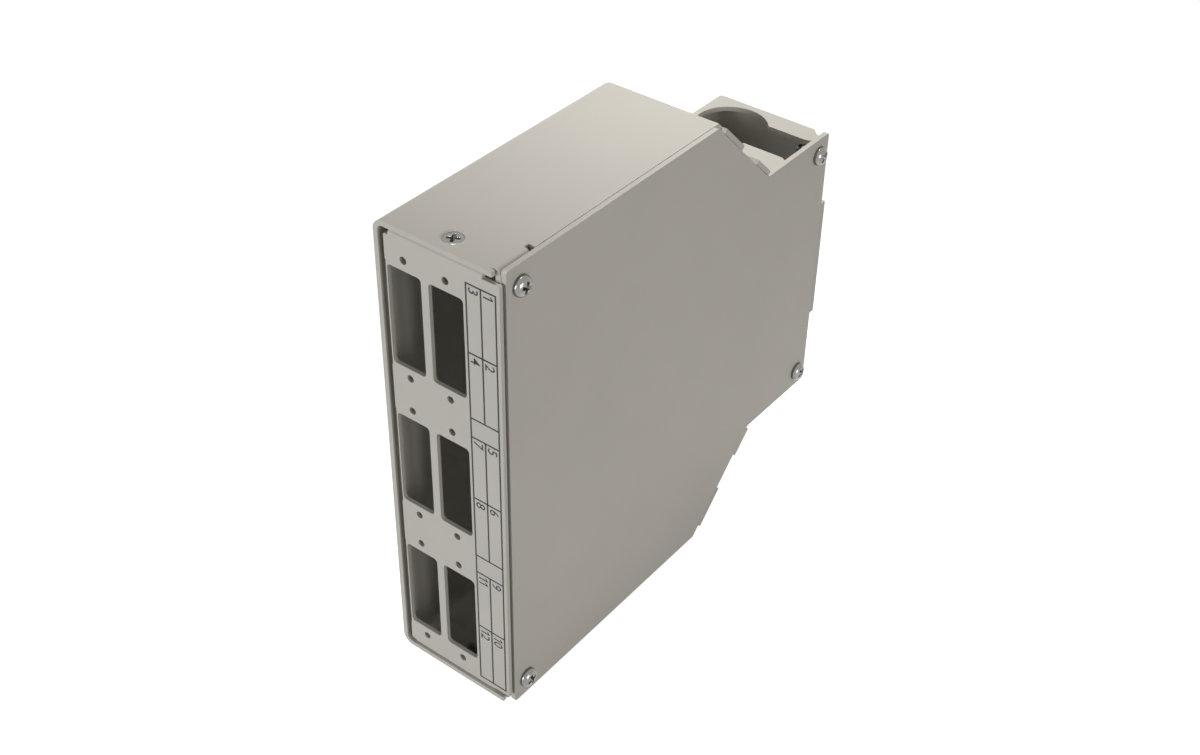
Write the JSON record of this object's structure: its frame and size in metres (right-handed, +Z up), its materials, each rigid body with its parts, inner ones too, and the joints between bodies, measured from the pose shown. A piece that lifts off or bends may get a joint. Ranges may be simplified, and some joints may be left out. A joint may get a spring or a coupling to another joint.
{
  "type": "fibre splice box",
  "caption": "Slim folded-steel box for splicing fibre cables, with duplex adapter cut-outs in front, keyhole cable entries in a stepped neck and a sprung rail latch behind.",
  "frame": {"origin": "centre of the whole part's box, on the face it stands on", "axes": "+X from the left wall to the side cover, +Y from the front panel to the rail, +Z up"},
  "size_m": [0.0364, 0.1336, 0.124],
  "materials": {
    "light_grey_coat": "fine-textured light warm-grey powder coat",
    "bracket_coat": "light grey powder coat",
    "nickel_screw": "bright nickel-plated steel",
    "zinc_steel": "zinc-plated steel",
    "spring_steel": "drawn spring wire",
    "bare_aluminium": "plain aluminium rivet",
    "pale_moulding": "moulded light grey plastic",
    "white_moulding": "moulded natural white plastic",
    "dark_moulding": "moulded dark grey plastic"
  },
  "bodies": {
    "box": {"housing_shell": "light_grey_coat", "side_cover": "light_grey_coat", "cover_screws": "nickel_screw", "cover_press_nuts": "zinc_steel", "front_panel": "light_grey_coat", "panel_screws": "nickel_screw", "panel_press_nuts": "zinc_steel", "splice_holder": "pale_moulding", "holder_studs": "zinc_steel", "holder_washers": "zinc_steel", "holder_nuts": "zinc_steel", "fibre_guides": "white_moulding", "upper_tie_bracket": "zinc_steel", "lower_tie_bracket": "zinc_steel", "tie_bracket_rivets": "bare_aluminium", "rail_bracket": "bracket_coat", "bracket_rivets": "bare_aluminium", "latch_guide_rivets": "zinc_steel", "latch_spring": "spring_steel"},
    "latch": {"rail_latch": "dark_moulding"}
  },
  "joints": [
    {"name": "latch_slide", "type": "slide", "parent": "box", "child": "latch", "axis": [0, 0, -1], "range_m": [0, 0.004], "stiffness_N_per_m": 1000, "springref_m": -0.004, "deforming": ["latch_spring"]}
  ]
}
